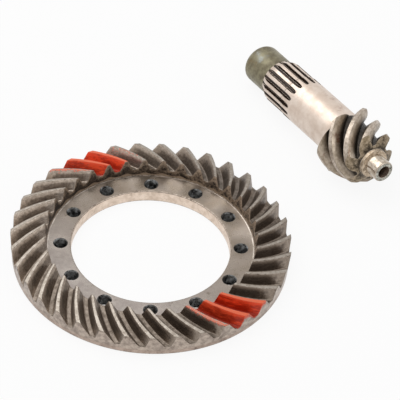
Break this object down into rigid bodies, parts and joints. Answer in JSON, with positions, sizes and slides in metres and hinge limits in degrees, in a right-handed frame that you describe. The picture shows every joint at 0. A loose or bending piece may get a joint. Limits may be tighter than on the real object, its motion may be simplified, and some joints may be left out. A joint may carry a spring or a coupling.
{
  "type": "ring and pinion gear set",
  "caption": "Final-drive gear set: a flat spiral-toothed ring gear with a bolted flange, and its drive pinion with splined shaft, bearing journal and pilot stub.",
  "frame": {"origin": "centre of the ring gear's bore, at its flat back face", "axes": "+Z along the ring gear's bore axis, away from its back face, the way its teeth point; the pinion lies on the same plane z = 0, beyond the ring and to its right, +X is to the right and +Y away from the viewer"},
  "size_m": [0.421, 0.484, 0.0807],
  "materials": {
    "ring_steel": "cut and lapped tooth flanks, turned rim and flange, oiled",
    "pinion_steel": "ground journals, cut and lapped tooth flanks, oiled"
  },
  "bodies": {
    "root": {"ring_gear": "ring_steel", "drive_pinion": "pinion_steel"}
  },
  "joints": []
}
